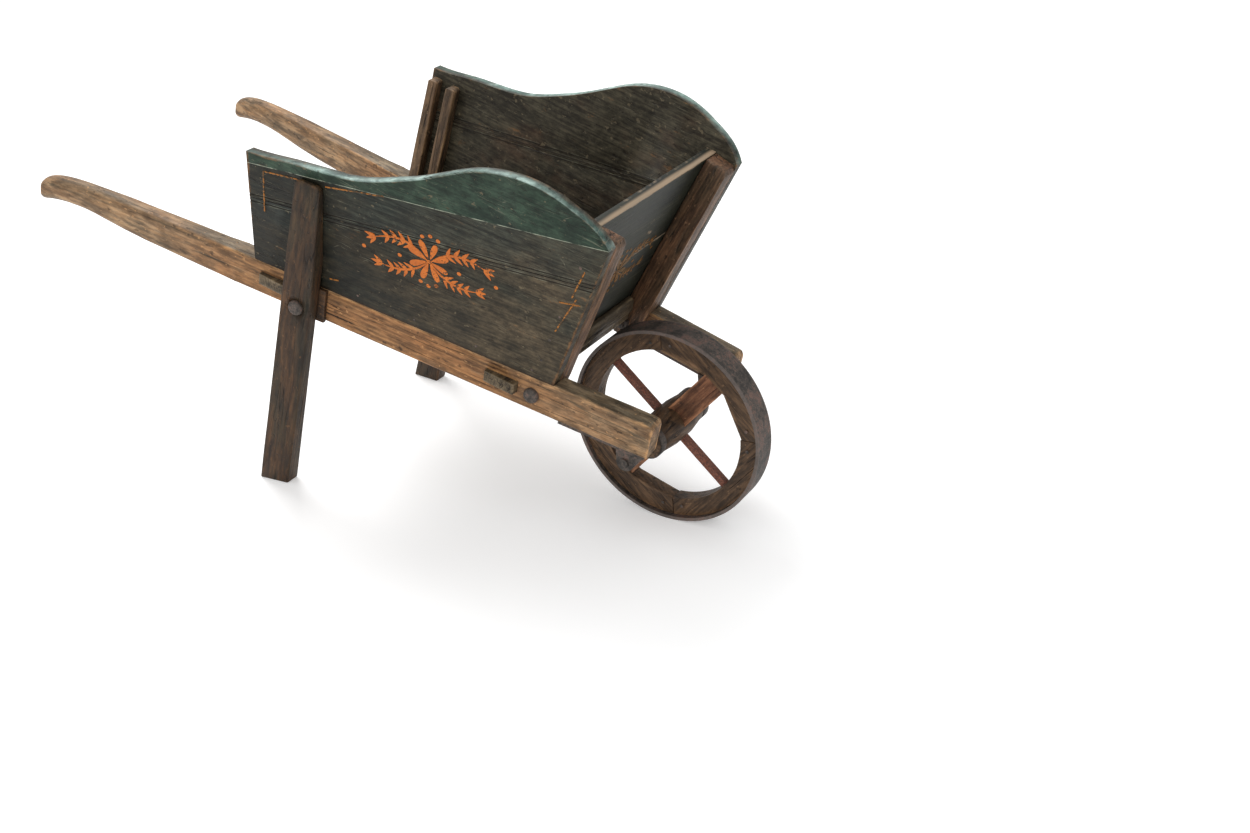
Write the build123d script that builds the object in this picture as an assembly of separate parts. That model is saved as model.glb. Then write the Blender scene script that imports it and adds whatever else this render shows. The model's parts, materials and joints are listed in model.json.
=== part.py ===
from build123d import *
import math
import os

# Wooden wheelbarrow with a slatted tray, two legs and one iron-tyred wheel. Millimetres, +Z up.
# Parts are drawn level in the barrow's own frame: X forward along the shafts, Y to the left,
# Z up from the top face of the shafts. The whole is then tipped forward onto its feet and wheel.

# ---- sizes ----
tray_length = 600.0        # length of a side board's bottom edge
rear_half_width = 241.0    # centre line to a shaft's outer face at the tray's rear end
front_half_width = 184.0   # the same at the tray's front end
shaft_depth = 65.0
shaft_width = 41.0
handle_reach = 484.0       # tray's rear end back to the tip of the grip
shaft_nose = 186.0         # tray's front end forward to the shaft's end
board_thickness = 20.0
floor_thickness = 20.0
side_lean = 0.1515         # outward run of the sides for each unit of height
front_rake = 0.2376        # forward run of the front for each unit of height
front_setback = 48.0       # front board behind the side boards' front edge
front_height = 319.0
rail_width = 62.0
rail_thickness = 21.0
tenon_proud = 11.0
stay_width = 38.0
sill_size = 28.0
batten_width = 22.0
batten_depth = 22.0
tail_slot = 22.0
leg_thickness = 23.0
packing_thickness = 8.0
leg_drop = 437.0           # shafts' top face down to the front corner of a foot
leg_rise = 215.0
wheel_radius = 184.0
tyre_width = 48.0
tyre_thickness = 6.0
felloe_thickness = 30.0
felloe_depth = 37.0
plank_width = 44.0
plank_thickness = 24.0
bar_size = 12.5
hub_radius = 35.0
hub_end_radius = 27.0
hub_half_length = 90.0
gudgeon_radius = 8.0
axle_ahead = 147.0         # tray's front end forward to the axle
axle_below = 29.0          # shaft's underside down to the axle
strap_thickness = 5.5
bolt_radius = 5.0
bolt_head_radius = 14.0
nut_size = 20.0
nut_thickness = 9.0

# ---- clearances ----
joint_gap = 0.2            # tenons in mortises, boards in housings
board_gap = 0.4            # between boards laid edge to edge
hole_gap = 0.25            # bolts and pins in their holes
running_gap = 0.06         # gudgeon in its iron eye, radial
tyre_gap = 0.05            # felloes inside the shrunk tyre

# ---- derived ----
toe_tan = (rear_half_width - front_half_width) / tray_length
toe = math.degrees(math.atan(toe_tan))
toe_cos = math.cos(math.radians(toe))
lean = side_lean * toe_cos                       # lean measured square to a side
side_run = board_thickness / math.cos(math.atan(lean))   # board thickness measured level
scale = tray_length / 600.0
axle_u = tray_length + axle_ahead
axle_v = -shaft_depth - axle_below
front_board_u = tray_length - front_setback
side_frame = Location((0, rear_half_width, 0), (0, 0, -toe))


def outer_y(u, v=0.0):
    """Half-width of a side's outer face."""
    return rear_half_width - toe_tan * u + side_lean * v


def inner_y(u):
    """Half-width of a shaft's inner face."""
    return rear_half_width - shaft_width / toe_cos - toe_tan * u


def across(points, y0, y1):
    """A side profile of (forward, up) points, carried across from y0 to y1."""
    plane = Plane(origin=(0, y0, 0), x_dir=(1, 0, 0), z_dir=(0, -1, 0))
    face = plane * make_face(Polyline(*points, close=True))
    return extrude(face, amount=y1 - y0, dir=(0, 1, 0))


def across_curved(curve, rest, y0, y1):
    """The same, with a smooth curve along the top and straight edges for the rest."""
    plane = Plane(origin=(0, y0, 0), x_dir=(1, 0, 0), z_dir=(0, -1, 0))
    line = Spline(*curve) + Polyline(curve[-1], *rest, curve[0])
    return extrude(plane * make_face(line.edges()), amount=y1 - y0, dir=(0, 1, 0))


def along(points, s0, s1):
    """A cross-section of (outward, up) points, carried along a side from s0 to s1."""
    plane = Plane(origin=(s0, 0, 0), x_dir=(0, 1, 0), z_dir=(1, 0, 0))
    face = plane * make_face(Polyline(*points, close=True))
    return side_frame * extrude(face, amount=s1 - s0, dir=(1, 0, 0))


def block(u0, u1, y0, y1, v0, v1):
    return Pos(u0, y0, v0) * Box(u1 - u0, y1 - y0, v1 - v0, align=(Align.MIN,) * 3)


def rod_y(radius, y0, y1, u, v):
    """A round bar lying across the barrow."""
    return Pos(u, (y0 + y1) / 2, v) * Rot(90, 0, 0) * Cylinder(radius, y1 - y0)


def rod_out(radius, n0, n1, u, v):
    """A round bar square to a side, from n0 to n1 measured outward from the shaft's face."""
    return side_frame * Pos(u / toe_cos, (n0 + n1) / 2, v) * Rot(90, 0, 0) * Cylinder(radius, n1 - n0)


def right(shape):
    return mirror(shape, about=Plane.XZ)


parts = {}


def pair(name, shape):
    """A left part and its mirror image on the right."""
    parts["left_" + name] = shape
    parts["right_" + name] = right(shape)


# ---- cross rails, through both shafts ----
rear_rail_u = (15.0, 15.0 + rail_width)
front_rail_u = (tray_length - 64.0 - rail_width, tray_length - 64.0)
rail_top = -floor_thickness
for rail_name, (u0, u1) in (("rear_cross_rail", rear_rail_u), ("front_cross_rail", front_rail_u)):
    half = outer_y((u0 + u1) / 2) + tenon_proud
    rail = block(u0, u1, -half, half, rail_top - rail_thickness, rail_top)
    parts[rail_name] = chamfer(rail.edges().filter_by(Axis.Z), 2.5)

# ---- shafts, each one piece from the grip to the wheel ----
shaft_end = (tray_length + shaft_nose) / toe_cos
grip_root = -0.08 * handle_reach


def grip_section(s, top, bottom, width, radius):
    plane = Plane(origin=(s, -shaft_width / 2, (top + bottom) / 2), x_dir=(0, 1, 0), z_dir=(1, 0, 0))
    return plane * RectangleRounded(width, top - bottom, radius)


beam = Pos(grip_root, -shaft_width, -shaft_depth) * Box(
    shaft_end - grip_root, shaft_width, shaft_depth, align=(Align.MIN,) * 3)
beam = chamfer(beam.edges().filter_by(Axis.X), 3.0)
nose = beam.edges().filter_by(Axis.Y).sort_by(Axis.X)[-2:].sort_by(Axis.Z)[-1]
beam = fillet(nose, 14.0)
# (share of the reach, top and bottom as shares of the shaft's depth, width share, corner radius)
grip_shape = (
    (0.08, 0.0, 1.0, 1.0, 3.2), (0.165, 0.02, 1.0, 1.0, 7), (0.26, 0.035, 1.0, 1.0, 9),
    (0.385, 0.045, 1.0, 1.0, 10.5), (0.50, 0.05, 0.99, 0.99, 12), (0.595, 0.055, 0.965, 0.975, 14),
    (0.69, 0.07, 0.915, 0.96, 16), (0.79, 0.105, 0.875, 0.95, 17.5), (0.87, 0.165, 0.90, 0.96, 18.3),
    (0.925, 0.235, 0.965, 0.97, 18.8), (0.965, 0.33, 1.04, 0.95, 18), (0.99, 0.43, 1.09, 0.89, 16),
    (1.0, 0.52, 1.06, 0.76, 12))


def eased(share, column):
    """A column of the grip's shape at any share of the reach, without overshoot between its rows."""
    rows = [(row[0], row[column]) for row in grip_shape]
    runs = [(d - b) / (c - a) for (a, b), (c, d) in zip(rows, rows[1:])]
    turns = [runs[0]] + [0.0 if p * q <= 0 else 2 * p * q / (p + q) for p, q in zip(runs, runs[1:])] + [runs[-1]]
    k = max(i for i in range(len(rows) - 1) if rows[i][0] <= share)
    width = rows[k + 1][0] - rows[k][0]
    t = (share - rows[k][0]) / width
    return ((2 * t ** 3 - 3 * t ** 2 + 1) * rows[k][1] + (t ** 3 - 2 * t ** 2 + t) * width * turns[k]
            + (3 * t ** 2 - 2 * t ** 3) * rows[k + 1][1] + (t ** 3 - t ** 2) * width * turns[k + 1])


grip_stations = (0.08, 0.12, 0.165, 0.21, 0.26, 0.32, 0.385, 0.44, 0.50, 0.55, 0.595, 0.64, 0.69, 0.74, 0.79,
                 0.83, 0.87, 0.90, 0.925, 0.945, 0.965, 0.98, 0.99, 1.0)
grip = loft([
    grip_section(-share * handle_reach, -eased(share, 1) * shaft_depth, -eased(share, 2) * shaft_depth,
                 eased(share, 3) * shaft_width, eased(share, 4))
    for share in grip_stations], ruled=True)
shaft = side_frame * (beam + grip)
for u0, u1 in (rear_rail_u, front_rail_u):
    shaft -= block(u0 - joint_gap, u1 + joint_gap, 50, 400,
                   rail_top - rail_thickness - joint_gap, rail_top + joint_gap)

# ---- leg and its packing block ----
leg_bolt_u, leg_bolt_v = 111.0, -39.0
leg_tilt = 0.06            # forward run of the leg for each unit of height
foot_half = 30.0


def leg_u(v):
    return leg_bolt_u + leg_tilt * (v - leg_bolt_v)


# the ground touches the wheel's rim and the front corner of each foot, which sets the shafts' slope
foot_ahead = axle_u - leg_u(-leg_drop) - foot_half
foot_below = axle_v + leg_drop
ground_slope = math.degrees(math.atan2(foot_below, foot_ahead)
                            - math.asin(wheel_radius / math.hypot(foot_ahead, foot_below)))
leg_face = packing_thickness + leg_thickness      # leg's outer face beyond the shaft's
leg_low = -leg_drop - 3 * foot_half * math.tan(math.radians(abs(ground_slope))) - 4.0
leg_section = [
    (leg_face - 9, leg_low), (leg_face, leg_bolt_v), (lean * leg_rise + 11.5, leg_rise),
    (lean * leg_rise, leg_rise), (packing_thickness, packing_thickness / lean),
    (packing_thickness, -shaft_depth), (leg_face - 39, leg_low)]
leg_profile = [
    (leg_u(leg_low) - foot_half, leg_low), (leg_u(leg_low) + foot_half, leg_low),
    (leg_u(-30) + 31, -30), (leg_u(leg_rise) + 25, leg_rise - 9), (leg_u(leg_rise) + 20, leg_rise),
    (leg_u(leg_rise) - 19, leg_rise), (leg_u(leg_rise) - 25, leg_rise - 9), (leg_u(-30) - 30, -30)]
leg = along(leg_section, -100, 300) & across(leg_profile, 100, 400)
seat_n = leg_face - 0.6
leg -= rod_out(bolt_head_radius + 2.5, seat_n, seat_n + 20, leg_bolt_u, leg_bolt_v)
packing = along([(0, -shaft_depth), (packing_thickness, -shaft_depth), (packing_thickness, 0), (0, 0)],
                -100, 300) & block(leg_u(-30) - 29, leg_u(-30) + 43, 100, 400, -shaft_depth, 0)
through = rod_out(bolt_radius + hole_gap, -80, 80, leg_bolt_u, leg_bolt_v)
leg -= through
packing -= through
shaft -= through

# ---- front stays, lapped down the inside of the shafts ----
stay_bolt_u, stay_bolt_v = tray_length - 36.0, -34.0
side_top_front = 311.0
stay_in = -side_run - stay_width
stay_section = [
    (-side_run, 0), (lean * 330 - side_run, 330), (lean * 330 + stay_in, 330),
    (stay_in, 0), (stay_in, -shaft_depth + 3), (-shaft_width, -shaft_depth + 3), (-shaft_width, 0)]
stay_low = -shaft_depth + 3


def front_u(v):
    """Front board's front face."""
    return front_board_u + front_rake * v


def edge_u(v):
    """Side boards' front edge."""
    return tray_length + front_rake * v


stay = along(stay_section, 400, 800) & across([
    (front_u(stay_low), stay_low), (edge_u(stay_low), stay_low), (edge_u(300), 300),
    (edge_u(300) - 4, side_top_front), (front_u(side_top_front + 6), side_top_front + 6)], 50, 400)
through = rod_out(bolt_radius + hole_gap, -90, 40, stay_bolt_u, stay_bolt_v)
stay -= through
shaft -= through

# ---- floor boards, resting on the rails between the shafts ----
floor_front = tray_length - 34.0
centre_half = 70.0
parts["floor_board_centre"] = block(0, floor_front, -centre_half, centre_half, rail_top, 0)
edge_gap = board_gap / 2
outer_floor = Plane.XY.offset(rail_top) * make_face(Polyline(
    (0, centre_half + board_gap), (floor_front, centre_half + board_gap),
    (floor_front, inner_y(floor_front) - edge_gap), (0, inner_y(0) - edge_gap), close=True))
outer_floor = extrude(outer_floor, amount=floor_thickness, dir=(0, 0, 1))
stay_y = rear_half_width + stay_in / toe_cos - toe_tan * front_u(0)
outer_floor -= block(front_u(-floor_thickness) - 3, floor_front + 9, stay_y - 3, 300, rail_top - 1, 1)
pair("floor_board", outer_floor)

# ---- side boards: two planks a side under a scalloped top edge ----
scallop = [(-4, 224), (23, 226), (85, 236), (163, 245), (212, 254), (270, 276), (335, 307),
           (385, 336), (431, 360), (480, 374), (529, 377), (575, 369), (600, 360), (645, 339), (673, 311)]
scallop = [(u * scale, v) for u, v in scallop]
seam_rear, seam_front = (-40 * scale, 126.0), (720 * scale, 239.0)


def seam_v(u, shift=0.0):
    return seam_rear[1] + (seam_front[1] - seam_rear[1]) * (u - seam_rear[0]) / (
        seam_front[0] - seam_rear[0]) + shift


side_slab = along([(-side_run - lean * 5, -5), (-lean * 5, -5), (lean * 420, 420),
                   (lean * 420 - side_run, 420)], -100, 900)
side_shape = across_curved(scallop, [(edge_u(0), 0), (0, 0)], 50, 450)
side_whole = side_slab & side_shape
below_seam = across([(-60, -20), (760, -20), (760, seam_v(760)), (-60, seam_v(-60))], 40, 460)
above_seam = across([(-60, seam_v(-60, board_gap)), (760, seam_v(760, board_gap)),
                     (760, 460), (-60, 460)], 40, 460)
lower_board = side_whole & below_seam
upper_board = side_whole & above_seam
# a bead is scratched along each plank beside the seam, on both faces
for bead_shift, board_name in ((-7.0, "lower"), (7.0, "upper")):
    for face_n in (0.0, -side_run):
        v0, v1 = seam_v(-60, bead_shift), seam_v(760, bead_shift)
        length = math.hypot(820, v1 - v0)
        groove = side_frame * extrude(Plane(
            origin=(-60, face_n + lean * v0, v0), x_dir=(0, 1, 0),
            z_dir=(820, lean * (v1 - v0), v1 - v0)) * Rectangle(2.2, 2.4), amount=length * 1.2)
        if board_name == "lower":
            lower_board -= groove
        else:
            upper_board -= groove
pair("side_board_lower", lower_board)
pair("side_board_upper", upper_board)

# ---- front board: two planks between the sides, against the stays ----
front_back = board_thickness / math.cos(math.atan(front_rake))
front_seam = 163.0


def front_plank(v0, v1):
    slab = across([(front_u(v0) - front_back, v0), (front_u(v0), v0), (front_u(v1), v1),
                   (front_u(v1) - front_back, v1)], -400, 400)
    # trimmed to the inner faces of the leaning, converging sides
    trim = along([(-side_run - joint_gap, 0), (lean * 420 - side_run - joint_gap, 420),
                  (-900, 420), (-900, 0)], 300, 900)
    return slab & trim & right(trim)


parts["front_board_lower"] = front_plank(0, front_seam)
parts["front_board_upper"] = front_plank(front_seam + board_gap, front_height)
sill_half = rear_half_width + stay_in / toe_cos - toe_tan * edge_u(0) - 1.0
parts["front_sill"] = across([
    (front_u(0), 0), (floor_front + 6, 0), (floor_front + 6, sill_size - 6),
    (floor_front + 1, sill_size), (front_u(sill_size), sill_size)], -sill_half, sill_half)

# ---- battens that form the tailboard slot at the rear end of each side ----
for batten_name, u0 in (("tail_batten_rear", 2.0), ("tail_batten_front", 2.0 + batten_depth + tail_slot)):
    u1 = u0 + batten_depth
    top = 208.0
    bar = across([(u0, 0), (u1, 0), (u1, top), (u1 - 4, top + 3), (u0 + 4, top + 3), (u0, top)], 60, 400)
    pair(batten_name, bar & along([
        (-side_run - batten_width, 0), (-side_run, 0), (lean * 400 - side_run, 400),
        (lean * 400 - side_run - batten_width, 400)], -100, 400))

# ---- bolts, nuts ----


def bolt(u, v, seat, inner, head_height=8.0):
    """Domed head on the seat, plain shank, square nut against the inner face."""
    head = rod_out(bolt_head_radius, seat, seat + head_height, u, v)
    rim = head.edges().filter_by(GeomType.CIRCLE).sort_by(Axis.Y)[-1]
    head = fillet(rim, head_height * 0.72)
    shank = rod_out(bolt_radius, inner - nut_thickness - 5, seat + 1, u, v)
    nut = side_frame * Pos(u / toe_cos, inner - nut_thickness / 2, v) * Box(nut_size, nut_thickness, nut_size)
    nut -= rod_out(bolt_radius + hole_gap, inner - 40, inner + 20, u, v)
    return head + shank, nut


leg_bolt, leg_nut = bolt(leg_bolt_u, leg_bolt_v, seat_n, -shaft_width)
stay_bolt, stay_nut = bolt(stay_bolt_u, stay_bolt_v, 0.0, stay_in)

# ---- iron straps under the shaft ends, each forged into an eye for the axle ----
strap_u = tray_length + 18.0
eye_y = (inner_y(axle_u) + 2.0, inner_y(axle_u) + 32.0)
plate = along([(-shaft_width + 4, -shaft_depth - strap_thickness), (-4, -shaft_depth - strap_thickness),
               (-4, -shaft_depth), (-shaft_width + 4, -shaft_depth)], strap_u / toe_cos, shaft_end - 6)
eye_radius = gudgeon_radius + 8.5
neck = across([(axle_u - eye_radius, axle_v), (axle_u + eye_radius, axle_v),
               (axle_u + eye_radius + 8, -shaft_depth - 1), (axle_u - eye_radius - 8, -shaft_depth - 1)],
              eye_y[0], eye_y[1])
hanger = plate + neck + rod_y(eye_radius, eye_y[0], eye_y[1], axle_u, axle_v)
hanger -= rod_y(gudgeon_radius + running_gap, 50, 300, axle_u, axle_v)
screws = []
for screw_u in (strap_u + 18, strap_u + 70):
    x = screw_u / toe_cos
    shank = Pos(x, -shaft_width / 2, -shaft_depth + 12) * Cylinder(3, 26 + 2 * strap_thickness)
    head = Pos(x, -shaft_width / 2, -shaft_depth - strap_thickness - 2) * Cylinder(7, 4)
    screws.append(side_frame * (shank + head))
    hole = side_frame * Pos(x, -shaft_width / 2, -shaft_depth) * Cylinder(3 + hole_gap, 60)
    hanger -= hole
    shaft -= side_frame * Pos(x, -shaft_width / 2, -shaft_depth + 12) * Cylinder(
        3 + hole_gap, 28 + 2 * strap_thickness)

pair("shaft", shaft)
pair("leg", leg)
pair("leg_packing", packing)
pair("front_stay", stay)
pair("leg_bolt", leg_bolt)
pair("leg_nut", leg_nut)
pair("stay_bolt", stay_bolt)
pair("stay_nut", stay_nut)
pair("axle_strap", hanger)
pair("strap_screws", Compound(children=screws))

# ---- wheel, drawn about its own centre with the axle along Y ----
plank_angle, bar_angle = 62.0, 152.0
felloe_outer = wheel_radius - tyre_thickness - tyre_gap
felloe_inner = felloe_outer - felloe_depth


def turned(angle, shape):
    """Turn a wheel part that points along +X up to the given angle."""
    return Rot(0, -angle, 0) * shape


def centred(length, thickness, width):
    return Box(length, thickness, width)


wheel = {}
ring = rod_y(wheel_radius, -tyre_width / 2, tyre_width / 2, 0, 0)
ring -= rod_y(wheel_radius - tyre_thickness, -tyre_width, tyre_width, 0, 0)
wheel["tyre"] = ring
plank_cut = turned(plank_angle, centred(4 * wheel_radius, plank_thickness + 2 * joint_gap,
                                        plank_width + 2 * joint_gap))
bar_cut = turned(bar_angle, centred(4 * wheel_radius, bar_size + 2 * joint_gap, bar_size + 2 * joint_gap))
disc = rod_y(felloe_outer, -felloe_thickness / 2, felloe_thickness / 2, 0, 0)
for number in range(4):
    middle = plank_angle + 90 * number
    sector = []
    # the spoke's felloes are sawn straight from each joint to the spoke; the bar's are round inside
    flat = number % 2 == 0
    reach = math.degrees(math.asin((plank_width / 2 + 4) / felloe_inner))
    for step, r in ((-45, felloe_inner + 5), (-reach, felloe_inner), (reach, felloe_inner), (45, felloe_inner + 5)):
        if not flat:
            r = felloe_inner * 0.6
        sector.append((r * math.cos(math.radians(step)), r * math.sin(math.radians(step))))
    far = 1.6 * wheel_radius
    gap = board_gap / 2
    edge = [(far * 0.7071 + gap, far * 0.7071 - gap), (far * 0.7071 + gap, -far * 0.7071 + gap)]
    sector[0] = (sector[0][0] + gap, sector[0][1] + gap)
    sector[3] = (sector[3][0] + gap, sector[3][1] - gap)
    wedge = across(sector + edge, -felloe_thickness, felloe_thickness)
    felloe = disc & turned(middle, wedge)
    if not flat:
        felloe -= rod_y(felloe_inner + 3, -felloe_thickness, felloe_thickness, 0, 0)
    wheel["felloe_%d" % (number + 1)] = felloe - (plank_cut if number % 2 == 0 else bar_cut)
spoke_reach = felloe_outer - 0.5
plank = turned(plank_angle, centred(2 * spoke_reach, plank_thickness, plank_width)) & disc
wheel["plank_spoke"] = plank - bar_cut
wheel["bar_spoke"] = turned(bar_angle, centred(2 * spoke_reach, bar_size, bar_size))
half_hub = [(0, 0), (hub_radius, 0), (hub_radius, 24), (hub_end_radius + 2.5, hub_half_length - 23),
            (hub_end_radius, hub_half_length - 22), (hub_end_radius, hub_half_length - 4),
            (hub_end_radius - 4, hub_half_length), (0, hub_half_length)]
outline = Plane.XY * make_face(Polyline(*half_hub, close=True))
hub = revolve(outline, axis=Axis.Y)
hub = hub + mirror(hub, about=Plane.XZ) - plank_cut - bar_cut
for side_sign in (-1, 1):
    end = hub_half_length
    low, high = sorted((side_sign * (end - 34), side_sign * (end + 5)))
    hub -= rod_y(gudgeon_radius + joint_gap, low, high, 0, 0)
wheel["hub"] = hub
collar_out = inner_y(axle_u) + 0.5
for name, side_sign in (("left", 1), ("right", -1)):
    def span(a, b, radius):
        low, high = sorted((side_sign * a, side_sign * b))
        return rod_y(radius, low, high, 0, 0)
    band = span(hub_half_length - 21, hub_half_length - 5, hub_end_radius + 3.0)
    band -= span(hub_half_length - 40, hub_half_length + 9, hub_end_radius + tyre_gap)
    wheel["hub_band_" + name] = band
    wheel["gudgeon_" + name] = span(hub_half_length - 33.5, eye_y[1] + 5, gudgeon_radius) + span(
        hub_half_length, collar_out, gudgeon_radius + 4)
for node, shape in wheel.items():
    parts[node] = Pos(axle_u, 0, axle_v) * shape

# ---- tip the whole forward onto the ground, cut the feet level, centre it ----
slope = math.radians(ground_slope)
axle_height = -axle_u * math.sin(slope) + axle_v * math.cos(slope)
lift = wheel_radius - axle_height
stand = Pos(0, 0, lift) * Rot(0, ground_slope, 0)
below_ground = Pos(0, 0, -500) * Box(6000, 4000, 1000)
placed = {}
for node, shape in parts.items():
    shape = stand * shape
    if node.endswith("_leg"):
        shape = shape - below_ground
    placed[node] = shape
boxes = [shape.bounding_box() for shape in placed.values()]
middle = (min(b.min.X for b in boxes) + max(b.max.X for b in boxes)) / 2
os.makedirs("parts", exist_ok=True)
for node, shape in placed.items():
    shape = Pos(-middle, 0, 0) * shape
    shape.label = node
    export_step(shape, "parts/%s.step" % node)
print("axle at", axle_u * math.cos(slope) + axle_v * math.sin(slope) - middle, 0, wheel_radius)
print("shift", -middle, "lift", lift)
print("overall", [max(getattr(b.max, k) for b in boxes) - min(getattr(b.min, k) for b in boxes) for k in "XYZ"])
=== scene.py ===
import json
import math

import bmesh
import bpy
import numpy as np
from mathutils import Matrix, Vector, noise


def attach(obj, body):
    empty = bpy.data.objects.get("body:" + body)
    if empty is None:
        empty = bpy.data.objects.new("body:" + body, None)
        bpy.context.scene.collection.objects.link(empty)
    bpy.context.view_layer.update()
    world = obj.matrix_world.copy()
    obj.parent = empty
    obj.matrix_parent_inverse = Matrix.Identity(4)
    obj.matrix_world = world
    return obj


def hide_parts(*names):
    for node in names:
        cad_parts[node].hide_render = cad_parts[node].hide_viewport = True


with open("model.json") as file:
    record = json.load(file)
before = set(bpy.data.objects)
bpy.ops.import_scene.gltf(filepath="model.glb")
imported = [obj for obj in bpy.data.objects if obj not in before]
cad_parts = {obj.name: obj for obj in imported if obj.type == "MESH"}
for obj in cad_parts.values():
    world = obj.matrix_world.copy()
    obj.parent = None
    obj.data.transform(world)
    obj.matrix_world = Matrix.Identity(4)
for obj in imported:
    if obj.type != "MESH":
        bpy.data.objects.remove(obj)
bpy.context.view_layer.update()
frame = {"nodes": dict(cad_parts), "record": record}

# ---------------------------------------------------------------- the barrow's own axes
SLOPE = math.radians(13.705)     # the shafts run down towards the wheel
TOE = math.atan(57.0 / 600.0)    # each shaft turns in towards the wheel
LEAN = math.atan(0.1515 * math.cos(TOE))     # the sides lean outwards
RAKE = 0.2376                    # forward run of the front for each unit of height
LEG_TILT = 0.06                  # forward run of a leg for each unit of height
HALF_REAR = 0.241                # centre line to a shaft's outer face at the tray's rear end
TRAY_LENGTH = 0.600              # a side board's bottom edge
BOARD_DEPTH = 0.020              # thickness of the side boards
FRONT_FOOT = 0.552               # the front board's foot ahead of the tray's rear end
AXLE_PLACE = Vector((0.747, 0, -0.094))      # measured from the tray's rear end, at the shafts' top face
UP = 1.0 / math.cos(LEAN)        # up a leaning side for each unit of height

TURN = Matrix.Rotation(SLOPE, 4, "Y")
SPIN = next(j for j in frame["record"]["behaviour"]["joints"] if j["name"] == "wheel_spin")
LIFT = Vector(SPIN["pos_m"]) - TURN @ AXLE_PLACE

LEVEL = Matrix.Translation(LIFT) @ TURN
SIDE = LEVEL @ Matrix.Translation((0, HALF_REAR, 0)) @ Matrix.Rotation(-TOE, 4, "Z")
BOARD = SIDE @ Matrix.Rotation(-LEAN, 4, "X")
STAY = BOARD @ Matrix.Rotation(math.atan(RAKE), 4, "Y")
LEG = SIDE @ Matrix.Rotation(math.atan(LEG_TILT), 4, "Y")
FRONT = LEVEL @ Matrix.Translation((FRONT_FOOT, 0, 0)) @ Matrix.Rotation(math.atan(RAKE), 4, "Y")
AXLE = LEVEL @ Matrix.Translation(AXLE_PLACE)
FLIP = Matrix.Diagonal((1, -1, 1, 1))
CROSSWAYS = Matrix.Rotation(math.pi / 2, 4, "Z")     # grain runs across the barrow
UPRIGHT = Matrix.Rotation(-math.pi / 2, 4, "Y")      # grain runs up the piece


def axes_for(base, name):
    """The piece's own axes; the right side is the left one mirrored."""
    return FLIP @ base if name.startswith("right") else base


def colour(r, g, b):
    """Screen values from 0 to 255 as linear light."""
    def lin(c):
        c /= 255.0
        return c / 12.92 if c <= 0.04045 else ((c + 0.055) / 1.055) ** 2.4
    return (lin(r), lin(g), lin(b), 1.0)


def scaled(tone, by):
    """A colour made darker or lighter, never above full."""
    return tuple(min(1.0, c * by) for c in tone[:3]) + (1.0,)


# ---------------------------------------------------------------- shader expressions
class Finish:
    """One material under construction; node() adds any node and returns its first output."""

    def __init__(self, name):
        self.mat = bpy.data.materials.new(name)
        self.mat.use_nodes = True
        self.tree = self.mat.node_tree
        self.tree.nodes.clear()

    def node(self, kind, settings=None, inputs=None, out=0):
        n = self.tree.nodes.new("ShaderNode" + kind)
        for key, value in (settings or {}).items():
            if key == "line":
                curve = n.mapping.curves[0]
                while len(curve.points) < len(value):
                    curve.points.new(0.5, 0.5)
                for point, at in zip(curve.points, value):
                    point.location = at
                n.mapping.update()
            else:
                setattr(n, key, value)
        for key, value in (inputs or {}).items():
            if isinstance(value, Value):
                self.tree.links.new(value.socket, n.inputs[key])
            else:
                n.inputs[key].default_value = value
        return Value(self, n.outputs[out])

    def split(self, vector):
        s = self.node("SeparateXYZ", None, {0: vector}).socket.node
        return [Value(self, o) for o in s.outputs]

    def noise(self, at, stretch, scale=1.0, detail=3.0, rough=0.55, shift=(0, 0, 0), bend=0.0):
        """Noise whose cells are stretched along the grain."""
        at = self.node("Mapping", {"vector_type": "POINT"}, {0: at, 1: shift, 3: stretch})
        return self.node("TexNoise", {"noise_dimensions": "3D"},
                         {"Vector": at, "Scale": scale, "Detail": detail,
                          "Roughness": rough, "Distortion": bend})

    def between(self, value, low, high, to_low=0.0, to_high=1.0):
        """Smoothly from to_low to to_high as the value goes from low to high."""
        return self.node("MapRange", {"interpolation_type": "SMOOTHSTEP"},
                         {0: value, 1: low, 2: high, 3: to_low, 4: to_high})

    def mix(self, factor, a, b, blend="MIX"):
        return self.node("Mix", {"data_type": "RGBA", "blend_type": blend, "clamp_factor": True},
                         {0: factor, 6: a, 7: b}, out=2)

    def tint(self, base, mask, low, high):
        """The colour multiplied by grey that runs from low to high with the mask."""
        return self.mix(1.0, base, self.mix(mask, low + (1,), high + (1,)), blend="MULTIPLY")

    def surface(self, base, rough, height=None, metal=0.0, depth=0.001, specular=0.5):
        inputs = {"Base Color": base, "Roughness": rough, "Metallic": metal, "Specular IOR Level": specular}
        if height is not None:
            inputs["Normal"] = self.node("Bump", None, {"Strength": 1.0, "Distance": depth, "Height": height})
        shader = self.node("BsdfPrincipled", None, inputs)
        self.tree.links.new(shader.socket, self.tree.nodes.new("ShaderNodeOutputMaterial").inputs[0])
        return self.mat


class Value:
    """A socket that takes part in ordinary sums."""

    def __init__(self, finish, socket):
        self.finish, self.socket = finish, socket

    def _math(self, operation, *terms):
        return self.finish.node("Math", {"operation": operation}, dict(enumerate(terms)))

    def __add__(self, o): return self._math("ADD", self, o)
    def __radd__(self, o): return self._math("ADD", o, self)
    def __sub__(self, o): return self._math("SUBTRACT", self, o)
    def __rsub__(self, o): return self._math("SUBTRACT", o, self)
    def __truediv__(self, o): return self._math("DIVIDE", self, o)
    def __mul__(self, o): return self._math("MULTIPLY", self, o)
    def __rmul__(self, o): return self._math("MULTIPLY", o, self)
    def __abs__(self): return self._math("ABSOLUTE", self)
    def low(self, o): return self._math("MINIMUM", self, o)
    def high(self, o): return self._math("MAXIMUM", self, o)
    def sin(self): return self._math("SINE", self)
    def root(self): return self._math("SQRT", self)


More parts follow.
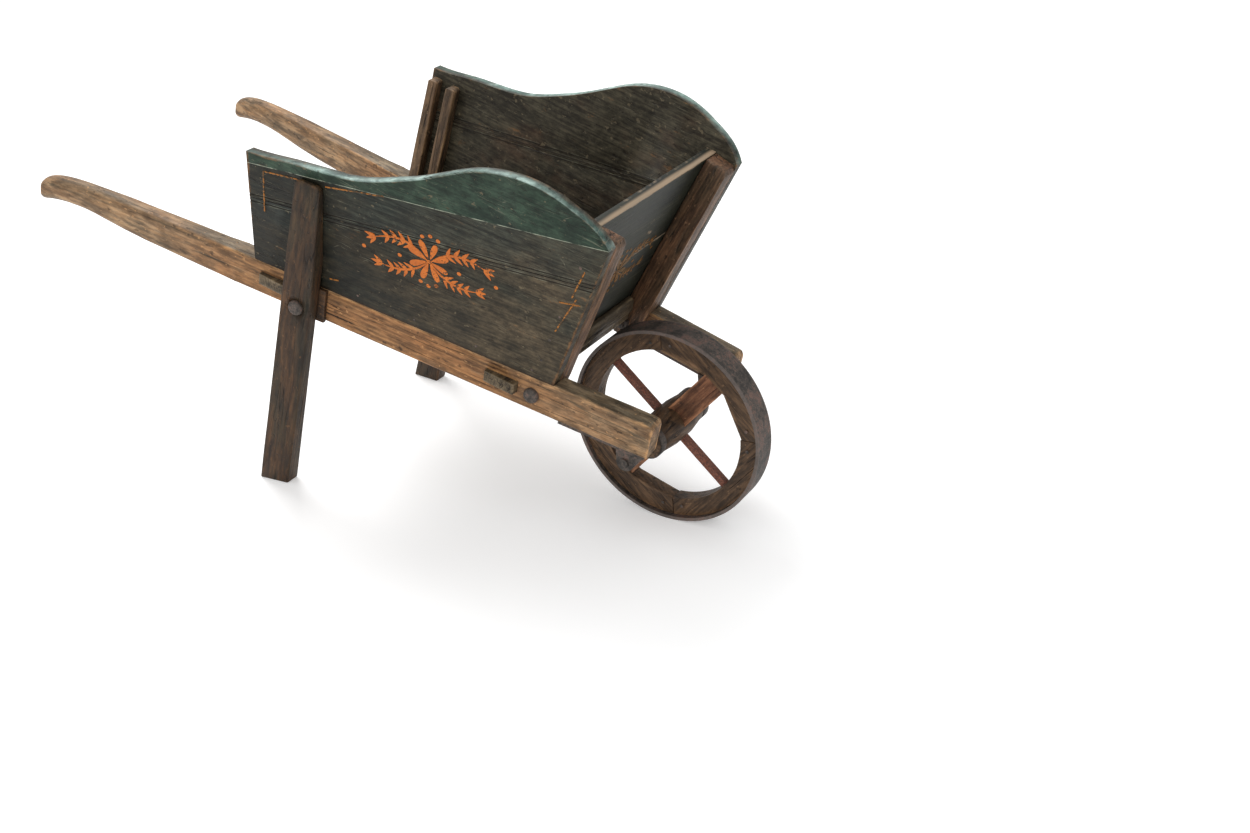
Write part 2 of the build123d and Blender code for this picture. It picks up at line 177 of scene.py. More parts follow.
def own_axes(f, axes):
    """Object coordinates turned into the piece's own axes, grain along X."""
    place = axes.copy()
    mirrored = place.to_3x3().determinant() < 0
    if mirrored:
        place = FLIP @ place
    back = place.inverted()
    at = f.node("TexCoord", None, None, out=3)
    return f.node("Mapping", {"vector_type": "POINT"},
                  {0: at, 1: tuple(back.translation), 2: tuple(back.to_euler("XYZ")),
                   3: (1, -1 if mirrored else 1, 1)})


def measure(node, axes):
    """Lowest and highest corner of a CAD node in the given axes."""
    mesh = frame["nodes"][node].data
    back = axes.inverted()
    points = np.array([back @ v.co for v in mesh.vertices])
    return points.min(0), points.max(0)


def arris_distance(f, at, low, high):
    """How far a point on a squared piece lies from its nearest long edge, in metres."""
    gaps = []
    for part, a, b in zip(f.split(at), low, high):
        gaps.append((b - a) / 2 - abs(part - (a + b) / 2))
    x, y, z = gaps
    return x.low(y).high(x.high(y).low(z))


# ---------------------------------------------------------------- timber and paint
OAK = (colour(68, 43, 25), colour(146, 100, 60), colour(180, 136, 90))
GREY_OAK = (colour(50, 42, 31), colour(82, 70, 52), colour(124, 108, 84))
LEG_WOOD = (colour(30, 19, 9), colour(62, 41, 22), colour(96, 66, 38))
STAY_WOOD = (colour(58, 38, 26), colour(108, 76, 55), colour(144, 112, 84))
WHEEL_WOOD = (colour(42, 29, 19), colour(84, 63, 45), colour(120, 92, 66))
SPOKE_WOOD = (colour(66, 38, 26), colour(118, 76, 54), colour(150, 106, 76))
BATTEN_WOOD = (colour(54, 40, 28), colour(106, 82, 60), colour(150, 122, 92))
# dark dirt colour; also the colour of the painted contact shadow along the side boards' foot
DIRT_AND_SHADE = colour(26, 19, 13)
RAINED_ON = (colour(126, 114, 94), colour(96, 84, 66))
SUN_BLEACHED = (colour(122, 106, 84), colour(160, 144, 118))


def grain(f, at, tones, seed):
    """Bare timber: growth rings, fibres, pores and checks. Returns colour, height and the check mask."""
    deep, body, pale = tones
    sx, sy, sz = 3.1 * seed, 1.7 * seed, 2.3 * seed
    shift = (sx, sy, sz)
    wander = f.noise(at, (2.2, 9, 9), 1.0, 3.0, 0.5, shift)
    _, y, z = f.split(at)
    pith_y, pith_z = 0.16 + 0.02 * math.sin(seed * 5), -0.10 + 0.05 * math.cos(seed * 3)
    reach = ((y - pith_y) * (y - pith_y) + (z - pith_z) * (z - pith_z)).root() + wander * 0.035
    ring = f.between((reach * 1150).sin(), -0.9, 1.0)
    fibre = f.noise(at, (14, 420, 420), 1.0, 4.0, 0.62, shift, 0.15)
    streak = f.noise(at, (4.0, 120, 120), 1.0, 5.0, 0.66, (sy, sz, sx), 0.3)
    band = f.noise(at, (1.6, 34, 34), 1.0, 3.0, 0.6, (sz, sz, sx), 0.3)
    cloud = f.noise(at, (7, 16, 16), 1.0, 4.0, 0.62, (sz, sx, sy))
    base = f.mix(f.between(streak * 0.35 + ring * 0.08 + fibre * 0.3 + band * 0.35, 0.36, 0.76), deep, pale)
    base = f.mix(f.between(cloud, 0.34, 0.66, 0.20, 0.70), base, body)
    pores = f.between(f.noise(at, (22, 620, 620), 1.0, 2.0, 0.5, (sy, sx, sz)), 0.60, 0.70)
    base = f.mix(pores * 0.6, base, deep)
    split = abs(f.noise(at, (1.8, 40, 40), 1.0, 2.0, 0.45, (sx, sz, sy), 0.2) - 0.5)
    check = f.between(split, 0.0, 0.016, 1.0, 0.0) * f.between(cloud, 0.42, 0.58)
    base = f.mix(check * 0.9, base, DIRT_AND_SHADE)
    height = fibre * 0.5 + ring * 0.2 + streak * 0.5 - pores * 0.5 - check * 1.8
    return base, height, check


def timber(name, node, axes, tones, seed, worn=0.5, grime=0.5, edge=None, film=None, weather=0.0):
    """Oiled, handled timber: polished along its arrises, dark in its hollows, grey where rain lies on it.
    film is the colour of old paint left on it, and weather says how far rain and sun have greyed it."""
    f = Finish(name)
    at = own_axes(f, axes)
    low, high = measure(node, axes)
    edge = arris_distance(f, at, low, high) if edge is None else edge(f, at)
    base, height, check = grain(f, at, tones, seed)
    rag = f.noise(at, (18, 60, 60), 1.0, 5.0, 0.65, (seed, 0, 0))
    pale = scaled(tones[2], 1.45)
    if weather:
        x, _, z = f.split(at)
        top = float(high[2])
        skyward = f.between(z, top - 0.0035, top - 0.0012)
        past_tray = f.between(abs(x - 0.25), 0.22, 0.48)
        ragged = f.between(rag, 0.4, 0.6)
        base = f.mix(past_tray * weather * 0.5, base, f.mix(ragged, *SUN_BLEACHED))
        damp = f.between(f.noise(at, (4, 30, 30), 1.0, 4.0, 0.6, (seed, 4, 4)), 0.52, 0.70)
        base = f.mix(skyward.high(damp * 0.6) * weather, base, f.mix(ragged, *RAINED_ON))
    blotch = f.noise(at, (6, 26, 26), 1.0, 6.0, 0.70, (0, seed, 3))
    soil = f.between(blotch, 0.45, 0.66) * grime
    base = f.mix(soil, base, DIRT_AND_SHADE)
    smear = f.between(f.noise(at, (2.5, 60, 60), 1.0, 4.0, 0.6, (seed, 6, 0)), 0.56, 0.68)
    base = f.mix(smear * grime * 0.8, base, DIRT_AND_SHADE)
    rub = f.between(edge + (rag - 0.5) * 0.012, 0.0, 0.0050, 1.0, 0.0)
    base = f.mix(rub * worn * 0.6, base, pale)
    seat = f.between(edge + (rag - 0.5) * 0.006, 0.004, 0.012) * f.between(edge, 0.010, 0.022, 1.0, 0.0)
    base = f.mix(seat * grime * 0.35, base, DIRT_AND_SHADE)
    if film is not None:
        old = f.between(f.noise(at, (6, 34, 34), 1.0, 5.0, 0.7, (seed, 9, 0)), 0.44, 0.60)
        base = f.mix(old * 0.38, base, film)
    uneven = f.noise(at, (16, 70, 70), 1.0, 6.0, 0.74, (seed, 2, 8))
    base = f.tint(base, f.between(uneven, 0.36, 0.64), (0.52, 0.52, 0.52), (1.42, 1.40, 1.36))
    specks = f.between(f.noise(at, (110, 190, 190), 1.0, 2.0, 0.5, (2, seed, 0)), 0.66, 0.72)
    base = f.mix(specks * 0.4, base, pale)
    knocks = f.between(f.noise(at, (60, 110, 110), 1.0, 2.0, 0.5, (5, seed, 1)), 0.66, 0.74)
    base = f.mix(knocks * 0.6, base, DIRT_AND_SHADE)
    rough = 0.48 + 0.18 * blotch - 0.10 * rub + check * 0.2
    relief = height - rub * 0.15 + blotch * 0.7 - knocks * 1.4
    return f.surface(base, rough, relief, depth=0.0006, specular=0.28)


# the scalloped top edge and the scribed line of a side: along, and height above the shafts
TOP_EDGE = [(-0.004, 0.224), (0.023, 0.226), (0.085, 0.236), (0.163, 0.245), (0.212, 0.254), (0.270, 0.276),
            (0.335, 0.307), (0.385, 0.336), (0.431, 0.360), (0.480, 0.374), (0.529, 0.377), (0.575, 0.369),
            (0.600, 0.360), (0.645, 0.339), (0.673, 0.311)]
SCRIBE = [(0.0, 0.202), (0.151, 0.226), (0.482, 0.279), (0.675, 0.311), (0.7, 0.316)]


def line_height(f, u, points, start=-0.01, run=0.72, rise=0.4):
    """Height above the shafts of a line drawn along a side."""
    line = [((a - start) / run, b / rise) for a, b in points]
    return f.node("FloatCurve", {"line": line}, {0: 1.0, 1: (u - start) / run}) * rise


def scratches(f, at, seed):
    """Fine pale scratches: most run with the board, a few cross it."""
    total = None
    for turn, spread, run, floor_ in ((0.06, 420, 16, 0.665), (-0.12, 380, 14, 0.67),
                                      (0.7, 320, 34, 0.70), (-0.9, 340, 38, 0.70)):
        turned = f.node("Mapping", {"vector_type": "POINT"}, {0: at, 2: (0, turn + 0.05 * math.sin(seed), 0)})
        line = f.noise(turned, (run, 3, spread), 1.0, 2.0, 0.55, (turn * 9 + seed, seed, turn), 0.25)
        mark = f.between(line, floor_, floor_ + 0.03)
        total = mark if total is None else total.high(mark)
    patch = f.noise(at, (10, 3, 14), 1.0, 3.0, 0.6, (seed, 2, seed))
    return total * f.between(patch, 0.44, 0.62)


def painted_side(name, node, axes, seed):
    """Old green paint over timber: a lighter field above a scribed line outside, worn bare at the edges."""
    f = Finish(name)
    at = own_axes(f, axes)
    u, n, w = f.split(at)
    v = w * math.cos(LEAN)
    middle = BOARD_DEPTH / 2
    outside = f.between(n, -middle - 0.0020, -middle + 0.0010)
    wood, wood_height, check = grain(f, at, OAK, seed)
    cloud = f.noise(at, (8, 8, 16), 1.0, 6.0, 0.70, (seed, 0, 1))
    wide = f.noise(at, (3.2, 3, 7), 1.0, 4.0, 0.6, (0, seed, 1))
    mottle = f.noise(at, (90, 90, 150), 1.0, 3.0, 0.6, (3, seed, 1))
    fibre = f.noise(at, (11, 60, 210), 1.0, 4.0, 0.62, (seed, 1, 0), 0.1)
    from_top = line_height(f, u, TOP_EDGE) - v
    from_front = (TRAY_LENGTH + v * RAKE) - u
    border = from_top.low(from_front).low(u + 0.004).low(v)
    edge = (middle - abs(n + middle)).high(border)
    over = v - line_height(f, u, SCRIBE)
    seam = v - (0.126 + (u + 0.04) * ((0.239 - 0.126) / 0.76))      # from the joint of the two boards
    # paint outside
    forward = f.between(u, 0.10, 0.60)
    mid = f.mix(forward, colour(40, 36, 26), colour(82, 71, 55))
    deep = f.mix(forward, colour(17, 19, 14), colour(44, 39, 29))
    lower = f.mix(f.between(cloud * 0.45 + fibre * 0.4 + mottle * 0.15, 0.40, 0.60), deep, mid)
    blue = f.between(wide + v * 0.9 - 0.12, 0.40, 0.62)
    lower = f.mix(blue * 0.6, lower, f.mix(f.between(fibre, 0.4, 0.6), colour(16, 26, 23), colour(44, 54, 48)))
    upper = f.mix(f.between(cloud * 0.6 + fibre * 0.25 + mottle * 0.15, 0.38, 0.62),
                  colour(22, 37, 28), colour(50, 67, 54))
    paint = f.mix(f.between(over, -0.0012, 0.0012), lower, upper)
    # paint inside
    inner = f.mix(f.between(cloud * 0.35 + fibre * 0.5 + mottle * 0.15, 0.40, 0.62),
                  colour(40, 36, 28), colour(74, 69, 56))
    russet = f.between(f.noise(at, (5, 5, 9), 1.0, 3.0, 0.6, (seed, 7, 0)), 0.52, 0.68)
    inner = f.mix(russet * 0.4, inner, colour(76, 54, 40))
    paint = f.mix(outside, inner, paint)
    # worn through to timber
    rag = f.noise(at, (26, 30, 60), 1.0, 6.0, 0.72, (seed, 5, 5))
    bare_edge = f.between(edge + (rag - 0.5) * 0.016, 0.0, 0.0035, 1.0, 0.0)
    bare_patch = f.between(rag * 0.5 + cloud * 0.35 + fibre * 0.20, 0.600, 0.660)
    bare = (bare_edge * 0.9).high(bare_patch * 0.75)
    base = f.mix(bare * 0.8, paint, f.mix(0.5, wood, colour(66, 48, 32)))
    # polished, chalky top edge with a painted pale-blue highlight along it, weak at the rear, and broken
    # scribed line
    rim = f.between(from_top + (rag - 0.5) * 0.0012, 0.0003, 0.0036, 1.0, 0.0)
    rim = rim * f.between(u, 0.04, 0.16, 0.15, 1.0) * f.between(cloud, 0.34, 0.56, 0.55, 0.95)
    base = f.mix(rim, base, f.mix(f.between(cloud, 0.4, 0.6), colour(104, 132, 126), colour(158, 180, 174)))
    broken = f.noise(at, (30, 5, 20), 1.0, 3.0, 0.6, (9, seed, 0))
    line = f.between(abs(over), 0.0003, 0.0011, 1.0, 0.0) * outside * f.between(broken, 0.38, 0.52)
    base = f.mix(line * 0.75, base, colour(164, 170, 152))
    # the beads beside the seam: dark in the groove, rubbed pale on its lips
    lip = abs(abs(seam) - 0.0070)
    groove = f.between(lip, 0.0009, 0.0014, 1.0, 0.0)
    lips = f.between(abs(lip - 0.0020), 0.0002, 0.0009, 1.0, 0.0) * f.between(broken, 0.40, 0.60)
    base = f.mix(lips * 0.35, base, colour(132, 134, 118))
    base = f.mix(groove.high(f.between(abs(seam), 0.0004, 0.0014, 1.0, 0.0)) * 0.8, base, DIRT_AND_SHADE)
    marks = scratches(f, at, seed)
    base = f.mix(marks * 0.30, base, colour(138, 134, 116))
    uneven = f.noise(at, (30, 30, 60), 1.0, 6.0, 0.76, (seed, 2, 8))
    base = f.tint(base, f.between(uneven, 0.36, 0.64), (0.58, 0.58, 0.57), (1.36, 1.35, 1.33))
    chips = f.between(f.noise(at, (75, 75, 110), 1.0, 2.0, 0.55, (1, 1, seed)), 0.66, 0.71)
    base = f.mix(chips * 0.5, base, colour(116, 104, 82))
    pits = f.between(f.noise(at, (55, 60, 130), 1.0, 3.0, 0.55, (7, 1, seed)), 0.62, 0.70)
    base = f.mix(pits * 0.6, base, DIRT_AND_SHADE)
    base = f.mix(check * bare.high(0.3), base, DIRT_AND_SHADE)
    # painted contact shadow: darker along the foot of the board where it sits on the shaft
    foot_contact_shadow = f.between(v, 0.0, 0.009, 1.0, 0.0)
    base = f.mix(foot_contact_shadow * 0.8, base, DIRT_AND_SHADE)
    height = (fibre * 0.45 + cloud * 0.6 + mottle * 0.12 - bare * 0.5 - line * 1.2 - marks * 0.4 - chips * 0.5
              - pits * 0.9 - check * 0.8 + wood_height * bare * 0.5)
    rough = 0.40 + 0.24 * cloud + bare * 0.12 - rim * 0.08
    return f.surface(base, rough, height, depth=0.0006, specular=0.18)


def painted_board(name, node, axes, seed):
    """A painted cross board: old green paint on both faces, bare and pale along its top."""
    f = Finish(name)
    at = own_axes(f, axes)
    low, high = measure(node, axes)
    edge = arris_distance(f, at, low, high)
    flat = f.node("Mapping", {"vector_type": "POINT"}, {0: at, 2: (0, 0, math.pi / 2)})
    wood, wood_height, check = grain(f, flat, OAK, seed)
    cloud = f.noise(at, (8, 8, 14), 1.0, 6.0, 0.70, (seed, 0, 1))
    mottle = f.noise(at, (90, 90, 120), 1.0, 3.0, 0.6, (3, seed, 1))
    fibre = f.noise(flat, (11, 60, 210), 1.0, 4.0, 0.6, (seed, 1, 0), 0.1)
    paint = f.mix(f.between(cloud * 0.45 + fibre * 0.4 + mottle * 0.15, 0.40, 0.60),
                  colour(12, 17, 12), colour(38, 40, 29))
    rag = f.noise(at, (30, 30, 50), 1.0, 6.0, 0.72, (seed, 5, 5))
    bare = f.between(edge + (rag - 0.5) * 0.016, 0.0, 0.005, 1.0, 0.0)
    bare = bare.high(f.between(rag * 0.6 + cloud * 0.4, 0.61, 0.67) * 0.7)
    if node.endswith("upper"):
        top = float(high[2])
        bare = bare.high(f.between(f.split(at)[2], top - 0.0035, top - 0.0015))
    base = f.mix(bare * 0.85, paint, f.mix(0.6, wood, colour(172, 158, 136)))
    marks = scratches(f, at, seed)
    base = f.mix(marks * 0.30, base, colour(138, 130, 108))
    base = f.mix(check * bare.high(0.3), base, DIRT_AND_SHADE)
    height = fibre * 0.45 + cloud * 0.6 - bare * 0.5 - marks * 0.4 + wood_height * bare * 0.4 - check * 0.7
    return f.surface(base, 0.44 + 0.24 * cloud + bare * 0.1, height, depth=0.0006, specular=0.30)


def iron(name, axes, seed, shade, rust=0.35, bright=0.25, rim=None):
    """Forged iron: pitted, dark, with rust in its hollows and a dull polish where it rubs."""
    f = Finish(name)
    at = own_axes(f, axes)
    pits = f.noise(at, (150, 150, 150), 1.0, 5.0, 0.70, (seed, 0, 0))
    cloud = f.noise(at, (26, 26, 26), 1.0, 6.0, 0.68, (0, seed, 0))
    fine = f.noise(at, (420, 420, 420), 1.0, 2.0, 0.5, (0, 0, seed))
    base = f.mix(f.between(cloud * 0.55 + pits * 0.45, 0.38, 0.62),
                 scaled(colour(44, 39, 35), shade), scaled(colour(106, 96, 88), shade))
    spots = f.between(cloud * 0.5 + pits * 0.5, 0.50, 0.60).high(max(0.0, rust - 0.9))
    rusted = f.mix(f.between(fine, 0.4, 0.6), colour(84, 40, 26), colour(138, 74, 50))
    base = f.mix(spots * min(rust, 1.0), base, rusted)
    rub = f.between(fine * 0.4 + cloud * 0.6, 0.48, 0.66) * bright
    if rim is not None:
        rub = rub.high(rim(f, at) * 0.35)
    base = f.mix(rub, base, colour(132, 120, 114))
    rough = 0.52 + 0.25 * cloud - rub * 0.2
    return f.surface(base, rough, pits * 1.0 + cloud * 0.6 + fine * 0.2, metal=rub * 0.4 + 0.15,
                     depth=0.0008, specular=0.4)


# ---------------------------------------------------------------- worn copies of the wooden pieces
def cut_copy(node):
    """The CAD node's shape as a clean mesh with its flat faces whole."""
    bm = bmesh.new()
    bm.from_mesh(frame["nodes"][node].data)
    bmesh.ops.remove_doubles(bm, verts=bm.verts, dist=2e-5)
    bmesh.ops.dissolve_limit(bm, angle_limit=math.radians(1.2), verts=bm.verts, edges=bm.edges)
    return bm


frame_slots = {s["node"]: s["material_slot"] for s in frame["record"]["subparts"]}


def worn_piece(node, axes, body, seed, width=0.0016, every=0.030, wobble=0.0005):
    """A wooden piece with rounded arrises and the slight unevenness of hand work, standing for its CAD node.
    width is the rounding's, every the distance between cuts across it, wobble how far its faces sink."""
    bm = cut_copy(node)
    sharp = [e for e in bm.edges if len(e.link_faces) == 2 and e.calc_face_angle(0) > math.radians(28)
             and e.calc_length() > 0.004]
    bmesh.ops.bevel(bm, geom=sharp, offset=width, offset_type="OFFSET", segments=2, profile=0.6,
                    affect="EDGES", clamp_overlap=True)
    bmesh.ops.remove_doubles(bm, verts=bm.verts, dist=1e-6)
    low, high = measure(node, axes)
    along = (axes.to_3x3() @ Vector((1, 0, 0))).normalized()
    start = axes @ Vector((0, 0, 0))
    step = low[0] + every * 0.6
    while step < high[0] - every * 0.3:
        bmesh.ops.bisect_plane(bm, geom=bm.verts[:] + bm.edges[:] + bm.faces[:], dist=1e-6,
                               plane_co=start + along * step, plane_no=along)
        step += every
    bm.normal_update()
    for vert in bm.verts:
        at = vert.co
        slow = noise.noise(at * 14 + Vector((seed, 0, 0)))
        quick = noise.noise(at * 60 + Vector((0, seed, 0)))
        depth = wobble * (0.6 + slow + 0.4 * quick)
        vert.co = at - vert.normal * max(0.0, depth)
    mesh = bpy.data.meshes.new(node + "_worn")
    bm.to_mesh(mesh)
    bm.free()
    piece = bpy.data.objects.new(node + "_worn", mesh)
    bpy.context.scene.collection.objects.link(piece)
    for poly in mesh.polygons:
        poly.use_smooth = True
    mesh.set_sharp_from_angle(angle=math.radians(40))
    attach(piece, body)
    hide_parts(node)
    return piece


def dress(obj, material):
    obj.data.materials.clear()
    obj.data.materials.append(material)


# ---------------------------------------------------------------- dressing the barrow
SEED_STEP = 1.37                 # each piece of wood gets grain of its own
OLD_FILM = colour(40, 42, 31)
seed = 1.0
for side in ("left", "right"):
    for name, base, tones, worn, grime, width, film, weather in (
            ("shaft", SIDE, OAK, 0.8, 0.4, 0.0020, None, 0.85),
            ("leg", LEG @ UPRIGHT, LEG_WOOD, 0.6, 0.5, 0.0030, OLD_FILM, 0.0),
            ("leg_packing", SIDE, LEG_WOOD, 0.3, 0.8, 0.0010, None, 0.0),
            ("front_stay", STAY @ UPRIGHT, STAY_WOOD, 0.8, 0.4, 0.0024, OLD_FILM, 0.0),
            ("tail_batten_rear", BOARD @ UPRIGHT, BATTEN_WOOD, 0.9, 0.35, 0.0020, None, 0.0),
            ("tail_batten_front", BOARD @ UPRIGHT, BATTEN_WOOD, 0.9, 0.35, 0.0020, None, 0.0),
            ("floor_board", LEVEL, GREY_OAK, 0.4, 0.6, 0.0010, None, 0.85)):
        node = side + "_" + name
        axes = axes_for(base, node)
        piece = worn_piece(node, axes, "frame", seed, width=width)
        dress(piece, timber(node + "_timber", node, axes, tones, seed, worn, grime, film=film, weather=weather))
        seed += SEED_STEP
    for name in ("side_board_lower", "side_board_upper"):
        node = side + "_" + name
        axes = axes_for(BOARD, node)
        piece = worn_piece(node, axes, "frame", seed, width=0.0018)
        dress(piece, painted_side(node + "_paint", node, axes, seed))
        seed += SEED_STEP

for node, axes, width in (("floor_board_centre", LEVEL, 0.001),
                          ("front_cross_rail", LEVEL @ CROSSWAYS, 0.0016),
                          ("rear_cross_rail", LEVEL @ CROSSWAYS, 0.0016),
                          ("front_sill", LEVEL @ CROSSWAYS, 0.002)):
    piece = worn_piece(node, axes, "frame", seed, width=width)
    dress(piece, timber(node + "_timber", node, axes, GREY_OAK, seed))
    seed += SEED_STEP
for node in ("front_board_lower", "front_board_upper"):
    piece = worn_piece(node, FRONT @ CROSSWAYS, "frame", seed)
    dress(piece, painted_board(node + "_paint", node, FRONT, seed))
    seed += SEED_STEP

# the wheel
PLANK_ANGLE = 62.0               # the plank spoke's direction, in degrees up from the line of the shafts
RIM_IN, RIM_OUT, RIM_HALF = 0.140, 0.178, 0.015
HUB_HALF = 0.090


def about_axle(degrees):
    """The wheel's axes with X turned up by an angle."""
    return AXLE @ Matrix.Rotation(-math.radians(degrees), 4, "Y")


def ring_edge(f, at):
    """Distance from the edges of the wooden rim."""
    x, y, z = f.split(at)
    r = (x * x + z * z).root()
    return (RIM_OUT - r).low(r - RIM_IN).high((RIM_HALF - abs(y)).low(0.02))


def hub_edge(f, at):
    """Distance from the ends of the hub."""
    return (HUB_HALF - abs(f.split(at)[0])).high(0.0) + 0.002


for number in range(4):
    node = "felloe_%d" % (number + 1)
    chord = about_axle(PLANK_ANGLE + 90 * number) @ Matrix.Rotation(math.pi / 2, 4, "Y")
    piece = worn_piece(node, chord, "wheel", seed, every=0.022)
    dress(piece, timber(node + "_timber", node, chord, WHEEL_WOOD, seed, edge=ring_edge))
    seed += SEED_STEP
spoke_axes = about_axle(PLANK_ANGLE)
piece = worn_piece("plank_spoke", spoke_axes, "wheel", seed, width=0.0018)
dress(piece, timber("plank_spoke_timber", "plank_spoke", spoke_axes, SPOKE_WOOD, seed, 0.8, 0.4))
seed += SEED_STEP
hub_axes = AXLE @ CROSSWAYS
piece = worn_piece("hub", hub_axes, "wheel", seed, width=0.001, every=0.02, wobble=0.0003)
dress(piece, timber("hub_timber", "hub", hub_axes, WHEEL_WOOD, seed, edge=hub_edge))


def tyre_rim(f, at):
    """The outermost few millimetres of the tyre's tread on both sides."""
    return f.between(abs(f.split(at)[1]), 0.0205, 0.0238)


dark_iron = iron("dark_iron", LEVEL, 3.0, 0.75)
tyre_iron = iron("tyre_iron", AXLE, 5.0, 0.68, bright=0.18, rim=tyre_rim)
rusty_iron = iron("rusty_iron", AXLE, 7.0, 0.9, rust=1.6, bright=0.05)
for node, obj in frame["nodes"].items():
    if frame_slots[node] == "wrought_iron":
        dress(obj, dark_iron)
dress(frame["nodes"]["tyre"], tyre_iron)
dress(frame["nodes"]["bar_spoke"], rusty_iron)

# ---------------------------------------------------------------- what repeats or follows a line
class Maker:
    """A geometry tree with named sizes; node() adds any node and returns one of its outputs."""

    def __init__(self, name, **sizes):
        self.tree = bpy.data.node_groups.new(name, "GeometryNodeTree")
        face = self.tree.interface
        face.new_socket("shape", in_out="INPUT", socket_type="NodeSocketGeometry")
        face.new_socket("shape", in_out="OUTPUT", socket_type="NodeSocketGeometry")
        self.keys = {}
        for key, value in dict(sizes, finish=None).items():
            kind = {int: "Int", float: "Float", type(None): "Material"}[type(value)]
            socket = face.new_socket(key, in_out="INPUT", socket_type="NodeSocket" + kind)
            if value is not None:
                socket.default_value = value
            self.keys[key] = socket.identifier
        self.start = self.tree.nodes.new("NodeGroupInput")

    def node(self, kind, settings=None, inputs=None, out=0):
        n = self.tree.nodes.new(kind)
        for key, value in (settings or {}).items():
            setattr(n, key, value)
        for key, value in (inputs or {}).items():
            if isinstance(value, bpy.types.NodeSocket):
                self.tree.links.new(value, n.inputs[key])
            else:
                n.inputs[key].default_value = value
        return n.outputs[out]

    def given(self, key):
        return self.start.outputs[key]

    def worked(self, operation, a, b):
        return self.node("ShaderNodeMath", {"operation": operation}, {0: a, 1: b})

    def flattened(self, z):
        """The upper half brought to the proud height, the lower half sunk into the board."""
        depth = self.worked("ADD", self.given("proud"), self.given("sunk"))
        above = self.worked("GREATER_THAN", z, 0.0)
        return self.worked("SUBTRACT", self.worked("MULTIPLY", above, depth), self.given("sunk"))

    def moved(self, shape, place):
        """The shape with each point put where place(x, y, z) says."""
        split = self.node("ShaderNodeSeparateXYZ", None, {0: self.node("GeometryNodeInputPosition")}).node
        parts = place(*split.outputs)
        return self.node("GeometryNodeSetPosition", None,
                         {0: shape, 2: self.node("ShaderNodeCombineXYZ", None, dict(enumerate(parts)))})

    def scattered(self, shape):
        """One copy at each point, turned and sized by the point's own attributes, a little unequal."""
        turn = self.node("GeometryNodeInputNamedAttribute", {"data_type": "FLOAT_VECTOR"}, {0: "turn"})
        size = self.node("GeometryNodeInputNamedAttribute", {"data_type": "FLOAT_VECTOR"}, {0: "size"})
        odd = self.node("FunctionNodeRandomValue", {"data_type": "FLOAT"},
                        {2: self.worked("SUBTRACT", 1.0, self.given("spread")),
                         3: self.worked("ADD", 1.0, self.given("spread")), 8: self.given("seed")}, out=1)
        scale = self.node("ShaderNodeVectorMath", {"operation": "SCALE"}, {0: size, 3: odd})
        facing = self.node("FunctionNodeEulerToRotation", None, {0: turn})
        return self.node("GeometryNodeInstanceOnPoints", None,
                         {0: self.given("shape"), 2: shape, 5: facing, 6: scale})

    def close(self, shape):
        real = self.node("GeometryNodeRealizeInstances", None, {0: shape})
        done = self.node("GeometryNodeSetMaterial", None, {0: real, 2: self.given("finish")})
        self.tree.links.new(done, self.tree.nodes.new("NodeGroupOutput").inputs[0])

    def make(self, name, points, edges, marks, body, place, finish, slot, **sizes):
        """Runs the tree over points (and edges) and leaves a plain mesh at the origin, riding one body."""
        mesh = bpy.data.meshes.new(name)
        mesh.from_pydata(points, edges, [])
        for mark, values in marks.items():
            values = np.array(values, dtype=float)
            kind, field = ("FLOAT_VECTOR", "vector") if values.ndim == 2 else ("FLOAT", "value")
            mesh.attributes.new(mark, kind, "POINT").data.foreach_set(field, values.ravel())
        holder = bpy.data.objects.new(name, mesh)
        bpy.context.scene.collection.objects.link(holder)
        modifier = holder.modifiers.new("shape", "NODES")
        modifier.node_group = self.tree
        for key, value in dict(sizes, finish=finish).items():
            modifier[self.keys[key]] = value
        depsgraph = bpy.context.evaluated_depsgraph_get()
        plain = bpy.data.meshes.new_from_object(holder.evaluated_get(depsgraph), depsgraph=depsgraph)
        holder.modifiers.remove(modifier)
        holder.data = plain
        plain.name = name
        plain.transform(place)
        if place.to_3x3().determinant() < 0:
            plain.flip_normals()
        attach(holder, body)


heads = Maker("nail_heads", radius=0.003, proud=0.001, spread=0.12, seed=7)
ball = heads.node("GeometryNodeMeshUVSphere", None, {0: 12, 1: 6, 2: 1.0})
dome = heads.moved(ball, lambda x, y, z: [heads.worked("MULTIPLY", part, heads.given(size)) for part, size in
                                          ((x, "radius"), (y, "radius"), (z, "proud"))])
heads.close(heads.scattered(dome))

petals = Maker("brush_petals", taper=0.38, proud=0.0002, sunk=0.0012, spread=0.10, seed=11)
disc = petals.node("GeometryNodeMeshCylinder", None, {0: 18, 1: 1, 2: 1, 3: 1.0, 4: 2.0})
petal = petals.moved(disc, lambda x, y, z: (
    petals.worked("MULTIPLY", petals.worked("ADD", x, 1.0), 0.5),
    petals.worked("MULTIPLY", y, petals.worked(
        "ADD", 0.62, petals.worked("MULTIPLY", x, petals.given("taper")))),
    petals.flattened(z)))
petals.close(petals.scattered(petal))

stroke = Maker("brush_lines", proud=0.0002, sunk=0.0012)
path = stroke.node("GeometryNodeMeshToCurve", None, {0: stroke.given("shape")})
path = stroke.node("GeometryNodeSetCurveNormal", {"mode": "Z_UP"}, {0: path})
square = stroke.node("GeometryNodeCurvePrimitiveQuadrilateral", {"mode": "RECTANGLE"}, {0: 1.0, 1: 1.0})
broad = stroke.node("GeometryNodeInputNamedAttribute", {"data_type": "FLOAT"}, {0: "width"})
ribbon = stroke.node("GeometryNodeCurveToMesh", None, {0: path, 1: square, 2: broad, 3: True})
stroke.close(stroke.moved(ribbon, lambda x, y, z: (x, y, stroke.flattened(z))))


